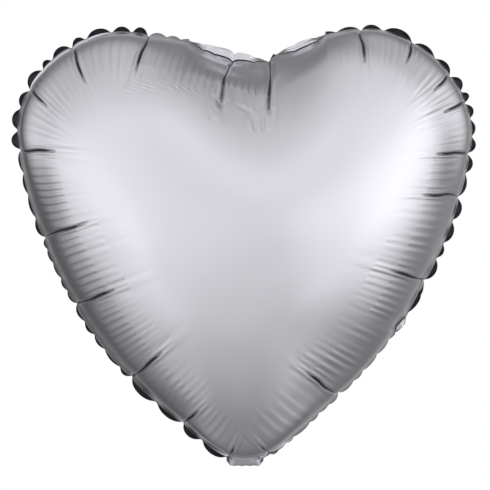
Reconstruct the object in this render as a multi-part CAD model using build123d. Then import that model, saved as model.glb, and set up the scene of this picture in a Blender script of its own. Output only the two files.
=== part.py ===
from build123d import *
import os
from math import cos, degrees, radians, sin

# Heart-shaped foil balloon, inflated, in millimetres.
# The origin is on the fold line of the filling tail, where a ribbon is tied.
# +Z is up, the front panel looks towards -Y, and the tail is folded up behind (+Y).

# ---- Driving dimensions -------------------------------------------------------------

HALF_DEPTH = 97.0        # seam plane to the crown of one panel, gas filled
WALL = 0.8               # panel wall; it stands in for foil of about 0.04 mm
CROWN_Z = 205.0          # height of the crown, the point that the panels swell about
TIP_LIFT = 14.0          # how far the underside of the tip sweeps up to the crown
SEAL_WIDTH = 5.0         # heat-sealed margin outside the seam
SEAL_HALF_THICKNESS = 0.4

# The seam line as (x, z): the cleft, then down each side over the lobe to the neck.
CLEFT = (18.8, 331.7)
RIGHT_SEAM = [
    (30.0, 339.0), (69.6, 353.5), (106.5, 357.5), (143.0, 343.5), (173.0, 314.0),
    (186.0, 278.5), (182.5, 244.0), (171.5, 203.5), (153.0, 159.7), (127.0, 114.7),
    (90.0, 69.6), (53.0, 34.4), (22.0, 9.5),
]
LEFT_SEAM = [
    (-8.2, 339.0), (-45.0, 347.5), (-80.0, 353.5), (-111.0, 354.5), (-145.0, 342.0),
    (-174.0, 314.0), (-186.7, 281.0), (-184.0, 248.0), (-171.5, 201.0), (-149.5, 149.0),
    (-121.2, 102.4), (-86.0, 63.0), (-47.0, 29.5), (-19.0, 8.5),
]
SWELL_ANGLES = [0, 12, 25, 38, 51, 64, 76, 84]  # sections from the seam to the crown

NECK_HALF_WIDTH = 11.0   # open channel between the side seals
NECK_TOP_Z = 4.0         # where the panels close in to the neck
LIP_BOTTOM_Z = 1.6       # end of the fixed neck, just above the fold line
LIP_OVERLAP = 0.4        # how far a lip reaches up into its panel's wall

VALVE_FILM = 0.3         # stands in for film of about 0.03 mm
VALVE_HALF_GAP = 0.1     # parting plane to each valve film
VALVE_HALF_WIDTH = 10.5
VALVE_WELD_WIDTH = 2.0   # long edges, where the two valve films are welded
VALVE_ROOT_BOTTOM_Z = 1.5
VALVE_ROOT_TOP_Z = 5.5   # the free valve swings about this line
VALVE_START_Z = 6.0
VALVE_TOP_Z = 76.0

TAIL_FILM = 0.4
TAIL_SEAL_WIDTH = 4.0
TAIL_HALF_WIDTH = NECK_HALF_WIDTH + TAIL_SEAL_WIDTH
TAIL_START_ANGLE = 8.0   # degrees above +Y at which the folded tail leaves the fold
TAIL_BEND_RADIUS = 44.0  # the folded tail follows the swell of the back panel
TAIL_BEND_LENGTH = 30.0
TAIL_FLAT_LENGTH = 20.0
TAIL_INNER_START = 1.2   # the inner layers begin this far from the fold line
FOLD_RADIUS = 0.8        # rounded crease on the fold line

VALVE_OUTER = VALVE_HALF_GAP + VALVE_FILM
TAIL_OUTER = VALVE_OUTER + TAIL_FILM

# ---- Panels and the sealed margin ---------------------------------------------------


def swollen(point, angle, shrink):
    """A seam point's x and z on the section at a swell angle from the seam plane."""
    reach = shrink * cos(radians(angle))
    below_crown = max(0.0, (CROWN_Z - point[1]) / (CROWN_Z - NECK_TOP_Z))
    lift = TIP_LIFT * sin(radians(2 * angle)) * below_crown**2
    return point[0] * reach, CROWN_Z + (point[1] - CROWN_Z) * reach + lift


def seam_sides(angle=0, wall=0):
    """Right and left edge of the heart on one section, each drawn anticlockwise."""
    shrink = 1 - wall / (CROWN_Z - NECK_TOP_Z)
    y = -(HALF_DEPTH - wall) * sin(radians(angle))

    def at(point):
        x, z = swollen(point, angle, shrink)
        return (x, y, z)

    neck_right = (NECK_HALF_WIDTH, NECK_TOP_Z)
    neck_left = (-NECK_HALF_WIDTH, NECK_TOP_Z)
    right = Spline([at(p) for p in [CLEFT, *RIGHT_SEAM, neck_right]])
    left = Spline([at(p) for p in [neck_left, *reversed(LEFT_SEAM), CLEFT]])
    return right, left


def heart_face(angle=0, wall=0):
    """Heart-shaped section of the front half, taken in by the wall."""
    right, left = seam_sides(angle, wall)
    return Face(Wire([right, Line(right @ 1, left @ 0), left]))


def box_between(low, high):
    """Box from its lowest to its highest corner."""
    size = [b - a for a, b in zip(low, high)]
    middle = [(a + b) / 2 for a, b in zip(low, high)]
    return Pos(*middle) * Box(*size)


def valve_slot():
    """Room for the welded root of the valve, through the neck."""
    return box_between(
        (-NECK_HALF_WIDTH, -VALVE_OUTER, 0),
        (NECK_HALF_WIDTH, VALVE_OUTER, VALVE_START_Z),
    )


def make_front_panel():
    """Domed foil panel, open at the seam plane, with the lip that carries it to the fold."""
    outside = loft([heart_face(angle) for angle in SWELL_ANGLES])
    inside = loft([heart_face(angle, WALL) for angle in SWELL_ANGLES])
    lip = box_between(
        (-TAIL_HALF_WIDTH, -VALVE_OUTER - WALL, LIP_BOTTOM_Z),
        (TAIL_HALF_WIDTH, -VALVE_OUTER, NECK_TOP_Z + LIP_OVERLAP),
    )
    return outside - inside - valve_slot() + lip


def margin_strip(side):
    """The sealed margin along one side of the seam, in the seam plane."""
    inner = seam_sides()[side]
    steps = len(RIGHT_SEAM) * 2
    outer_points = []
    for step in range(steps + 1):
        outward = (inner % (step / steps)).cross(Vector(0, 1, 0))
        outer_points.append(inner @ (step / steps) + outward * SEAL_WIDTH)
    outer = Spline(outer_points)
    edges = [inner, Line(inner @ 1, outer @ 1), outer, Line(inner @ 0, outer @ 0)]
    return Face(Wire(edges))


def make_edge_seal():
    """Flat margin round the heart, open at the neck, that welds the panels together."""
    ring = None
    for side in (0, 1):
        strip = margin_strip(side)
        half = extrude(strip, amount=SEAL_HALF_THICKNESS, dir=(0, 1, 0))
        half += extrude(strip, amount=SEAL_HALF_THICKNESS, dir=(0, -1, 0))
        ring = half if ring is None else ring + half
    for x in (-TAIL_HALF_WIDTH, NECK_HALF_WIDTH):
        ring += box_between(
            (x, -SEAL_HALF_THICKNESS, LIP_BOTTOM_Z),
            (x + TAIL_SEAL_WIDTH, SEAL_HALF_THICKNESS, NECK_TOP_Z),
        )
    below_neck = box_between((-50, -5, -20), (50, 5, LIP_BOTTOM_Z))
    return ring - below_neck


# ---- Valve --------------------------------------------------------------------------


def make_valve_root():
    """The two valve films where they are welded to each other and into the neck."""
    return box_between(
        (-NECK_HALF_WIDTH, -VALVE_OUTER, VALVE_ROOT_BOTTOM_Z),
        (NECK_HALF_WIDTH, VALVE_OUTER, VALVE_ROOT_TOP_Z),
    )


def make_valve_flap(side):
    """One free valve film, with the half-thickness of its two long edge welds."""
    y_inner, y_outer = sorted((side * VALVE_HALF_GAP, side * VALVE_OUTER))
    flap = box_between(
        (-VALVE_HALF_WIDTH, y_inner, VALVE_START_Z), (VALVE_HALF_WIDTH, y_outer, VALVE_TOP_Z)
    )
    y_low, y_high = sorted((0, side * VALVE_HALF_GAP))
    for x in (-VALVE_HALF_WIDTH, VALVE_HALF_WIDTH - VALVE_WELD_WIDTH):
        flap += box_between(
            (x, y_low, VALVE_START_Z), (x + VALVE_WELD_WIDTH, y_high, VALVE_TOP_Z)
        )
    return flap


# ---- Tail ---------------------------------------------------------------------------


def tail_point(along, height):
    """Point on the folded tail, height being measured towards the balloon."""
    turn = radians(TAIL_START_ANGLE) + min(along, TAIL_BEND_LENGTH) / TAIL_BEND_RADIUS
    start = radians(TAIL_START_ANGLE)
    straight = max(0.0, along - TAIL_BEND_LENGTH)
    radius = TAIL_BEND_RADIUS - height
    y = radius * sin(turn) - TAIL_BEND_RADIUS * sin(start) + straight * cos(turn)
    z = TAIL_BEND_RADIUS * cos(start) - radius * cos(turn) + straight * sin(turn)
    return (0, y, z)


def tail_layer(low, high, begins, x_low, x_high):
    """Layer of the tail between two heights, from one distance to the free end."""
    ends = TAIL_BEND_LENGTH + TAIL_FLAT_LENGTH
    middle = (begins + TAIL_BEND_LENGTH) / 2
    edges = []
    for height in (low, high):
        bend_end = tail_point(TAIL_BEND_LENGTH, height)
        edges.append(
            ThreePointArc(tail_point(begins, height), tail_point(middle, height), bend_end)
        )
        edges.append(Line(bend_end, tail_point(ends, height)))
    for along in (begins, ends):
        edges.append(Line(tail_point(along, low), tail_point(along, high)))
    profile = Pos(x_low, 0, 0) * Face(Wire(edges))
    return extrude(profile, amount=x_high - x_low, dir=(1, 0, 0))


def make_tail_front():
    """Outer film of the folded tail, with the rounded crease on the fold line."""
    film = tail_layer(-TAIL_OUTER, -VALVE_OUTER, 0, -TAIL_HALF_WIDTH, TAIL_HALF_WIDTH)
    crease = Rot(0, 90, 0) * Cylinder(FOLD_RADIUS, 2 * TAIL_HALF_WIDTH)
    return film + crease


def make_tail_back():
    """Inner film of the folded tail, on the side of the back panel."""
    return tail_layer(
        VALVE_OUTER, TAIL_OUTER, TAIL_INNER_START, -TAIL_HALF_WIDTH, TAIL_HALF_WIDTH
    )


def make_tail_edge_seal():
    """The two welded long edges of the tail."""
    strips = [
        tail_layer(-VALVE_OUTER, VALVE_OUTER, TAIL_INNER_START, x, x + TAIL_SEAL_WIDTH)
        for x in (-TAIL_HALF_WIDTH, NECK_HALF_WIDTH)
    ]
    return Compound(strips)


def make_valve_inlet(side):
    """One valve film inside the tail, with half of its two long edge welds."""
    low, high = sorted((side * VALVE_HALF_GAP, side * VALVE_OUTER))
    inlet = tail_layer(low, high, TAIL_INNER_START, -VALVE_HALF_WIDTH, VALVE_HALF_WIDTH)
    weld_low, weld_high = sorted((0, side * VALVE_HALF_GAP))
    for x in (-VALVE_HALF_WIDTH, VALVE_HALF_WIDTH - VALVE_WELD_WIDTH):
        inlet += tail_layer(
            weld_low, weld_high, TAIL_INNER_START, x, x + VALVE_WELD_WIDTH
        )
    return inlet


# ---- Build --------------------------------------------------------------------------

front_panel = make_front_panel()
parts = {
    "front_panel": front_panel,
    "back_panel": mirror(front_panel, about=Plane.XZ),
    "edge_seal": make_edge_seal(),
    "valve_root": make_valve_root(),
    "valve_flap_front": make_valve_flap(-1),
    "valve_flap_back": make_valve_flap(1),
    "tail_front": make_tail_front(),
    "tail_back": make_tail_back(),
    "tail_edge_seal": make_tail_edge_seal(),
    "valve_inlet_front": make_valve_inlet(-1),
    "valve_inlet_back": make_valve_inlet(1),
}

os.makedirs("parts", exist_ok=True)
for name, shape in parts.items():
    export_step(shape, f"parts/{name}.step")
    size = shape.bounding_box().size
    print(f"{name}: {shape.volume:.1f} mm3, {size.X:.1f} x {size.Y:.1f} x {size.Z:.1f} mm")

flat_end = tail_point(TAIL_BEND_LENGTH + TAIL_FLAT_LENGTH / 2, -TAIL_OUTER)
mouth = tail_point(TAIL_BEND_LENGTH + TAIL_FLAT_LENGTH, 0)
flat_angle = TAIL_START_ANGLE + degrees(TAIL_BEND_LENGTH / TAIL_BEND_RADIUS)
print("middle of the tail's flat outer face", flat_end)
print("filling mouth", mouth, "tail's flat end is at", flat_angle, "degrees above +Y")
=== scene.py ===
import math

import bpy
import numpy as np
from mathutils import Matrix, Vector


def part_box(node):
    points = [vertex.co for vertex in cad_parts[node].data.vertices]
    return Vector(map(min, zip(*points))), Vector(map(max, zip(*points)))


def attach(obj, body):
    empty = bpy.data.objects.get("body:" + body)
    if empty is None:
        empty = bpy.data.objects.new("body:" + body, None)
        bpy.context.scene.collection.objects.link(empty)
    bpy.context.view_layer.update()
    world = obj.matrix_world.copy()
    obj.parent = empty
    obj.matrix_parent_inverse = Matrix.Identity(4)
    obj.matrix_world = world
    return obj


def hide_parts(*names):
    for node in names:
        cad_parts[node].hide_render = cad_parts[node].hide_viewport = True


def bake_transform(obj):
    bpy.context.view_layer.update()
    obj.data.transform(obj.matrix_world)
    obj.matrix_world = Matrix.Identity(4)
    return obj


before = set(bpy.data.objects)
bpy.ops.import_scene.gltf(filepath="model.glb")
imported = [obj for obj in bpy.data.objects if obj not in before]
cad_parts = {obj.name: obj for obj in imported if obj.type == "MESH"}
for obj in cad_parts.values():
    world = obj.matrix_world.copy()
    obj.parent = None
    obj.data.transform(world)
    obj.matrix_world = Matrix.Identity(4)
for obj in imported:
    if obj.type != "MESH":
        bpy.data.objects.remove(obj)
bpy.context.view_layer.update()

MM = 0.001
TAU = 2 * math.pi

# The balloon stands with its tip at the origin, front panel towards -Y. A place on the seam
# is counted in columns of the simulated net from the cleft, clockwise as seen from the
# front: over the right lobe, down to the neck, and back up the left side.

# ---- Swell: how the flat hearts fill with gas ---------------------------------------

CROWN_HEIGHT = 0.575     # of the balloon's height: the point that the net closes in on
COLUMNS = 160            # columns of the simulated net round the seam
RINGS = 22               # rings from the seam to the middle patch
PATCH = COLUMNS // 4     # the middle patch has this many cells a side
PATCH_SHARE = 0.42       # size of the middle patch against the heart
PATCH_ROUNDING = 60      # rounds of smoothing that take the heart's shape off the patch
RING_CROWDING = 1.15     # power by which the rings lie closer together next to the seam
FLAT_TO_INFLATED = 1.25  # flat cut against the inflated outline
START_DEPTH = 0.15       # first guess of the swell against the CAD panel's depth
SWELL_STEPS = 40         # steps of the simulation
FINE = 8                 # fine columns for each simulated one, next to the seam
RIM_BINS = 1440          # directions in which the CAD panel's rim is read
RIM_CUTS = 24            # points read on each of the rim's edges
SEAM_STEPS = 7200        # steps round the seam when it is measured


def smoothstep(low, high, x):
    """Smooth rise from 0 at low to 1 at high."""
    t = np.clip((x - low) / (high - low), 0, 1)
    return t * t * (3 - 2 * t)


def bell(x, width):
    """Smooth hump: 1 at 0, and about a third at the width."""
    return np.exp(-((x / width) ** 2))


def past(place, other):
    """How far a place on the seam lies past another, the shorter way round."""
    return (place - other + COLUMNS / 2) % COLUMNS - COLUMNS / 2


def lengths_along(line):
    """Distance along a line of each of its points from the first."""
    steps = np.linalg.norm(np.diff(line, axis=0), axis=1)
    return np.concatenate([[0], np.cumsum(steps)])


def rim_of(node):
    """The outermost line of a CAD node in the seam plane, as r(angle) about the crown."""
    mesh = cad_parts[node].data
    co = np.array([v.co for v in mesh.vertices])
    flat = np.abs(co[:, 1]) < 1e-6
    pairs = np.array([e.vertices[:] for e in mesh.edges])
    pairs = pairs[flat[pairs].all(1)]
    steps = np.linspace(0, 1, RIM_CUTS)[None, :, None]
    points = co[pairs[:, 0]][:, None] * (1 - steps) + co[pairs[:, 1]][:, None] * steps
    points = points.reshape(-1, 3)[:, [0, 2]] - crown
    angle = np.arctan2(points[:, 1], points[:, 0]) % TAU
    reach = np.hypot(*points.T)
    slot = np.minimum((angle / TAU * RIM_BINS).astype(int), RIM_BINS - 1)
    best = np.zeros(RIM_BINS)
    np.maximum.at(best, slot, reach)
    middle = (np.arange(RIM_BINS) + 0.5) / RIM_BINS * TAU
    known = best > 0
    return lambda a: np.interp(np.asarray(a) % TAU, middle[known], best[known], period=TAU)


low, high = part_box("front_panel")
crown = np.array([0.0, high.z * CROWN_HEIGHT])
panel_depth = -low.y
seam_reach = rim_of("front_panel")


def even_seam(count):
    """Points spaced evenly along the seam, from the cleft clockwise, and the seam's length."""
    angles = np.linspace(0, TAU, SEAM_STEPS, endpoint=False)
    top = (angles > math.radians(60)) & (angles < math.radians(120))
    cleft = angles[top][np.argmin(seam_reach(angles[top]))]
    run = cleft - np.linspace(0, TAU, SEAM_STEPS + 1)
    points = crown + seam_reach(run)[:, None] * np.stack([np.cos(run), np.sin(run)], 1)
    length = np.concatenate([[0], np.cumsum(np.hypot(*np.diff(points, axis=0).T))])
    at = np.linspace(0, length[-1], count, endpoint=False)
    return np.stack([np.interp(at, length, points[:, k]) for k in (0, 1)], 1), length[-1]


fine_seam, _ = even_seam(4 * COLUMNS * FINE)


def seam_place(point):
    """Place on the seam nearest to a point (x, z) in millimetres."""
    gap = np.linalg.norm(fine_seam - np.array(point) * MM, axis=1)
    return np.argmin(gap) * COLUMNS / len(fine_seam)


def smoothed(loop, rounds):
    """A closed loop of points, evened out."""
    for _ in range(rounds):
        loop = (np.roll(loop, 1, 0) + 2 * loop + np.roll(loop, -1, 0)) / 4
    return loop


def net_quads(ring_ids, patch, first=0):
    """Faces of the net from one of its rings inwards, and of its middle patch."""
    faces = []
    for k in range(first, RINGS):
        for i in range(COLUMNS):
            n = (i + 1) % COLUMNS
            faces.append((ring_ids[k, i], ring_ids[k + 1, i], ring_ids[k + 1, n], ring_ids[k, n]))
    for i in range(PATCH):
        for j in range(PATCH):
            faces.append((patch[i, j], patch[i, j + 1], patch[i + 1, j + 1], patch[i + 1, j]))
    return faces


def net_layout():
    """Flat net of rings and a middle patch: points, ring indices, patch indices, faces."""
    outline, _ = even_seam(COLUMNS)
    inner = smoothed(crown + (outline - crown) * PATCH_SHARE, PATCH_ROUNDING)
    share = np.linspace(0, 1, RINGS + 1)[:, None, None] ** RING_CROWDING
    rings = outline * (1 - share) + inner * share
    points = list(rings.reshape(-1, 2))
    ring_ids = np.arange((RINGS + 1) * COLUMNS).reshape(RINGS + 1, COLUMNS)
    patch = np.full((PATCH + 1, PATCH + 1), -1)
    for i in range(PATCH + 1):
        patch[i, 0] = ring_ids[RINGS, i]
        patch[PATCH, i] = ring_ids[RINGS, PATCH + i]
        patch[PATCH - i, PATCH] = ring_ids[RINGS, 2 * PATCH + i]
        patch[0, PATCH - i] = ring_ids[RINGS, (3 * PATCH + i) % COLUMNS]
    for i in range(1, PATCH):
        for j in range(1, PATCH):
            a, b = i / PATCH, j / PATCH
            edge = [points[patch[n]] for n in ((i, 0), (i, PATCH), (0, j), (PATCH, j))]
            corner = [
                points[patch[n]] for n in ((0, 0), (PATCH, 0), (0, PATCH), (PATCH, PATCH))
            ]
            place = (1 - b) * edge[0] + b * edge[1] + (1 - a) * edge[2] + a * edge[3]
            place = place - (1 - a) * (1 - b) * corner[0] - a * (1 - b) * corner[1]
            place = place - (1 - a) * b * corner[2] - a * b * corner[3]
            patch[i, j] = len(points)
            points.append(place)
    return np.array(points), ring_ids, patch, net_quads(ring_ids, patch)


def mesh_object(name, points, faces, smooth=True):
    """New mesh object in the scene."""
    mesh = bpy.data.meshes.new(name)
    mesh.from_pydata([tuple(p) for p in points], [], [tuple(int(i) for i in f) for f in faces])
    mesh.update()
    mesh.polygons.foreach_set("use_smooth", [smooth] * len(mesh.polygons))
    obj = bpy.data.objects.new(name, mesh)
    bpy.context.scene.collection.objects.link(obj)
    return obj


def swell(points, faces):
    """Fills one flat panel with gas: its seam is held on the inflated outline."""
    count = len(points)
    start = np.zeros((count, 3))
    start[:, [0, 2]] = points
    inside = np.clip((np.arange(count) // COLUMNS) / RINGS, 0, 1)
    start[:, 1] = -START_DEPTH * panel_depth * inside**0.5
    obj = mesh_object("swell", start, faces)
    held = obj.vertex_groups.new(name="seam")
    held.add(list(range(COLUMNS)), 1.0, "REPLACE")
    cloth = obj.modifiers.new("cloth", "CLOTH")
    s = cloth.settings
    s.quality = 6
    s.mass = 0.02
    s.air_damping = 3
    s.tension_stiffness = 60
    s.compression_stiffness = 0.2
    s.shear_stiffness = 2
    s.bending_stiffness = 0.02
    s.tension_damping = 2
    s.compression_damping = 1
    s.shear_damping = 1
    s.vertex_group_mass = "seam"
    s.shrink_min = 1 - FLAT_TO_INFLATED
    s.use_pressure = True
    s.uniform_pressure_force = 8
    s.effector_weights.gravity = 0
    cloth.collision_settings.use_collision = False
    for step in range(1, SWELL_STEPS + 1):
        bpy.context.scene.frame_set(step)
    graph = bpy.context.evaluated_depsgraph_get()
    result = obj.evaluated_get(graph).to_mesh()
    co = np.array([v.co for v in result.vertices])
    bpy.context.scene.frame_set(1)
    bpy.data.objects.remove(obj)
    return co


# ---- Creases, wrinkles and scallops ---------------------------------------------------

# Creases of a panel as (x, z) in millimetres: where each leaves the seam, and the end of
# its dark line. Then the depth of its fold. In order from the cleft, clockwise.
CREASES = {
    "cleft": ((18.8, 333.0), (18.8, 286.0), 4.2),
    "right_1": ((95.0, 353.0), (95.8, 330.0), 3.0),
    "right_2": ((137.0, 344.0), (130.0, 327.0), 3.0),
    "right_3": ((169.0, 319.0), (151.0, 304.0), 3.2),
    "right_4": ((184.5, 298.0), (160.0, 287.0), 3.2),
    "right_5": ((185.3, 254.7), (155.0, 253.0), 3.4),
    "right_6": ((176.0, 219.0), (143.0, 220.0), 3.4),
    "right_7": ((145.0, 152.0), (116.0, 160.0), 3.6),
    "right_8": ((78.5, 57.0), (50.0, 78.0), 3.6),
    "right_9": ((20.5, 8.5), (12.0, 18.0), 2.0),
    "left_9": ((-13.5, 6.5), (-8.0, 18.0), 2.0),
    "left_8": ((-52.0, 33.0), (-38.0, 47.0), 2.6),
    "left_7": ((-94.5, 71.0), (-66.0, 95.0), 3.8),
    "left_6": ((-139.0, 131.5), (-104.0, 144.5), 3.8),
    "left_5": ((-164.5, 186.0), (-126.0, 197.5), 4.0),
    "left_4": ((-184.5, 258.0), (-152.0, 255.0), 3.6),
    "left_3": ((-176.0, 306.5), (-158.0, 291.0), 2.8),
    "left_2": ((-143.5, 344.5), (-128.0, 310.0), 3.6),
    "left_1": ((-79.0, 352.5), (-86.0, 325.0), 3.6),
    "cleft_left": ((-8.5, 338.0), (-21.0, 287.0), 4.4),
}

# Lines without a fold that the fine wrinkles beside them run along.
GUIDES = {
    "guide_left": ((-45.0, 346.0), (-50.0, 284.0), 0.0),
    "guide_right": ((56.0, 349.0), (55.0, 300.0), 0.0),
}

# Fine wrinkles from one crease to the next: the shares of the span at which they begin
# and end, how many there are, the lengths along the film at which they start and end, and
# their height, in millimetres.
WRINKLES = [
    ("cleft", 0.70, 1.00, 4, 36, 74, 0.12),
    ("right_1", 0.0, 1.0, 7, 34, 78, 0.17),
    ("right_2", 0.0, 1.0, 5, 32, 76, 0.34),
    ("right_3", 0.0, 1.0, 5, 32, 74, 0.34),
    ("right_4", 0.0, 1.0, 7, 36, 78, 0.24),
    ("right_5", 0.0, 1.0, 5, 36, 94, 0.34),
    ("right_6", 0.0, 1.0, 10, 36, 100, 0.36),
    ("right_7", 0.02, 0.38, 7, 34, 100, 0.40),
    ("right_7", 0.42, 0.64, 3, 36, 90, 0.24),
    ("right_7", 0.62, 1.00, 6, 34, 104, 0.46),
    ("right_8", 0.0, 1.0, 8, 34, 84, 0.16),
    ("left_9", 0.2, 1.0, 5, 34, 80, 0.16),
    ("left_8", 0.0, 1.0, 9, 34, 86, 0.26),
    ("left_7", 0.0, 1.0, 12, 32, 98, 0.32),
    ("left_6", 0.0, 1.0, 9, 32, 108, 0.42),
    ("left_5", 0.0, 1.0, 11, 32, 104, 0.36),
    ("left_4", 0.0, 1.0, 6, 34, 88, 0.20),
    ("left_3", 0.0, 1.0, 7, 32, 90, 0.30),
    ("left_2", 0.0, 1.0, 7, 36, 84, 0.13),
    ("left_1", 0.0, 1.0, 12, 36, 108, 0.38),
    ("cleft_left", 0.0, 1.0, 6, 38, 112, 0.46),
]

# The welded margin from one crease to the next: scallops, how far the widest part of a
# scallop shows beyond the panel in millimetres, and its tone (the dark one is painted
# shade, the pale one the film's own).
SCALLOPS = [
    ("cleft", 4, 2.8, "dark"),
    ("right_1", 2, 4.3, "dark"),
    ("right_2", 2, 4.2, "dark"),
    ("right_3", 2, 4.4, "dark"),
    ("right_4", 3, 4.0, "dark"),
    ("right_5", 2, 3.6, "dark"),
    ("right_6", 4, 4.0, "dark"),
    ("right_7", 8, 1.4, "pale"),
    ("right_8", 6, 1.2, "pale"),
    ("right_9", 1, 0.4, "pale"),
    ("left_9", 2, 4.4, "dark"),
    ("left_8", 2, 4.4, "dark"),
    ("left_7", 5, 2.4, "dark"),
    ("left_6", 5, 1.6, "dark"),
    ("left_5", 4, 2.4, "dark"),
    ("left_4", 3, 4.4, "dark"),
    ("left_3", 3, 5.0, "dark"),
    ("left_2", 4, 5.0, "dark"),
    ("left_1", 5, 2.4, "pale"),
    ("cleft_left", 2, 2.0, "pale"),
]

# Long scallops with their own places: (x, z) in millimetres where each starts and ends on
# the seam, how far the panel's edge is drawn in there, how far the margin stands out past
# the seam, its tone (the dark one is painted shade, the pale one the film's own), and how
# crumpled it is.
LENSES = [
    ((-46.0, 348.0), (18.8, 333.0), 7.0, 0.6, "pale", 1.0),
    ((25.0, 336.0), (66.0, 353.0), 5.0, 0.8, "pale", 1.0),
    ((144.0, 150.0), (138.5, 120.0), 0.3, 3.4, "dark", 0.2),
    ((137.5, 119.0), (127.0, 105.0), 1.5, 3.4, "pale", 1.2),
    ((29.0, 13.0), (17.5, 6.0), 0.0, 2.8, "pale", 0.5),
]
LENS_FADE = (14 * MM, 52 * MM)   # length of film over which a long scallop's pull dies away
PULL_FADE = 14 * MM              # the same for the others

# ---- From the simulated net to a fine panel ------------------------------------------

# Bands of the fine panel from the seam inwards: last simulated ring, rows in the band,
# and fine columns for each simulated one.
BANDS = [(13.0, 56, FINE), (17.0, 10, FINE // 2), (RINGS - 1.0, 8, FINE // 4)]
EDGE_COLUMNS = COLUMNS * FINE
CREASE_WIDTH = 4.0 * MM   # columns lie closer together within this of a crease
CREASE_CROWDING = 1.7     # how much closer, as a share
ROUTE_RINGS = 19          # rings over which a crease's route is searched
ROUTE_STEP = 0.25         # the search's step, in rings and in columns
ROUTE_SKIP = 8            # steps next to the seam, where the film is too steep to search
ROUTE_OVERRUN = 1.4       # most that a route drifts, against its drift at the crease's end
FOLLOW_UNTIL = 15.0       # ring up to which the columns follow the creases
EVEN_FROM = 21.0          # ring from which they are evenly spaced
SEAM_SLOPE = 0.7 * MM     # each ring lies at least this much further in than the last
SOFT_LIMIT = 1.5 * MM     # rounding of that limit
GROW_BACK = 1.04          # each smoothing is undone this much, so that the net doesn't shrink
SAME_POINT = 0.4 * MM     # points nearer than this are one where the middle joins on
SOFT_CORE = 0.35          # share of the radius inside which the swell is fully blurred
SOFT_FROM = (15 * MM, 45 * MM)   # height of the swell over which the blur sets in


def neighbours_of(faces):
    """Neighbour pairs of a quad net as two index arrays."""
    pairs = set()
    for face in faces:
        for a, b in zip(face, (*face[1:], face[0])):
            pairs.add((int(a), int(b)))
            pairs.add((int(b), int(a)))
    pairs = np.array(sorted(pairs))
    return pairs[:, 0], pairs[:, 1]


def relaxed(co, faces, first, rounds, step):
    """The net without its small buckles: points from `first` on are smoothed, then grown back."""
    a, b = neighbours_of(faces)
    degree = np.bincount(a, minlength=len(co))[:, None]
    free = np.arange(len(co)) >= first
    for _ in range(rounds):
        for move in (step, -GROW_BACK * step):
            mean = np.zeros_like(co)
            np.add.at(mean, a, co[b])
            co = np.where(free[:, None], co + move * (mean / degree - co), co)
    return co


def inset(flat, outward, k):
    """Most that ring k may move outwards, so that the film doesn't stand out past its seam."""
    laid_in = ((flat[0] - flat[k]) * outward).sum(1)
    return laid_in - SEAM_SLOPE * k


def evened(co, layout, rounds):
    """The rings without their buckles: the swell is averaged along the seam."""
    flat = layout[: (RINGS + 1) * COLUMNS].reshape(RINGS + 1, COLUMNS, 2)
    tangent = smoothed(np.roll(flat[0], -1, 0) - np.roll(flat[0], 1, 0), 2)
    tangent /= np.linalg.norm(tangent, axis=1)[:, None]
    outward = np.stack([-tangent[:, 1], tangent[:, 0]], 1)
    rings = co[: (RINGS + 1) * COLUMNS].reshape(RINGS + 1, COLUMNS, 3).copy()
    for k in range(1, RINGS + 1):
        move = rings[k][:, [0, 2]] - flat[k]
        local = np.stack(
            [(move * outward).sum(1), (move * tangent).sum(1), rings[k][:, 1]], 1
        )
        local = smoothed(local, rounds)
        limit = inset(flat, outward, k)
        local[:, 0] = limit - SOFT_LIMIT * np.log1p(np.exp((limit - local[:, 0]) / SOFT_LIMIT))
        rings[k][:, [0, 2]] = flat[k] + local[:, :1] * outward + local[:, 1:2] * tangent
        rings[k][:, 1] = local[:, 2]
    return np.concatenate([rings.reshape(-1, 3), co[(RINGS + 1) * COLUMNS:]])


def softened(co, faces, centre, radius, blur):
    """The net with its swell blurred round a point of the heart, away from the seam."""
    plan = co[:, [0, 2]]
    area = np.zeros(len(co))
    corners = plan[np.array(faces)]
    one, two = corners[:, 2] - corners[:, 0], corners[:, 3] - corners[:, 1]
    face_area = np.abs(one[:, 0] * two[:, 1] - one[:, 1] * two[:, 0]) / 2
    for k in range(4):
        np.add.at(area, np.array(faces)[:, k], face_area / 4)
    share = 1 - smoothstep(SOFT_CORE * radius, radius, np.linalg.norm(plan - centre, axis=1))
    share *= smoothstep(*SOFT_FROM, -co[:, 1])
    co = co.copy()
    used = np.flatnonzero(share)
    mean = np.zeros(len(used))
    for part in np.array_split(np.arange(len(used)), 16):
        here = plan[used[part]]
        apart = ((here[:, None] - plan[None]) ** 2).sum(2)
        weight = np.exp(-apart / (2 * blur**2)) * area
        weight /= weight.sum(1)[:, None]
        middle = weight @ plan
        level = weight @ co[:, 1]
        # A plane is fitted, so that a slope isn't lifted where the points thin out.
        dx, dz = plan[:, 0] - middle[:, :1], plan[:, 1] - middle[:, 1:]
        xx, xz, zz = ((weight * d).sum(1) for d in (dx * dx, dx * dz, dz * dz))
        xy, zy = ((weight * d * co[:, 1]).sum(1) for d in (dx, dz))
        det = xx * zz - xz**2
        slope_x, slope_z = (xy * zz - zy * xz) / det, (zy * xx - xy * xz) / det
        gap = here - middle
        mean[part] = level + slope_x * gap[:, 0] + slope_z * gap[:, 1]
    co[used, 1] += share[used] * (mean - co[used, 1])
    return co


def spline_weights(t):
    """Uniform cubic B-spline weights at a fraction of a cell."""
    return np.stack(
        [(1 - t) ** 3, 3 * t**3 - 6 * t**2 + 4, -3 * t**3 + 3 * t**2 + 3 * t + 1, t**3], -1
    ) / 6


def ring_surface(rings, v, at):
    """Points of the smooth surface at one ring and at places given in simulated columns."""
    padded = np.concatenate([2 * rings[:1] - rings[1:2], rings])
    cell = min(int(v), len(rings) - 3)
    row = np.tensordot(spline_weights(np.array(v - cell)), padded[cell:cell + 4], axes=1)
    base = np.floor(at).astype(int)
    weights = spline_weights(at - base)
    return sum(weights[:, k, None] * row[(base + k - 1) % COLUMNS] for k in range(4))


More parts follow.
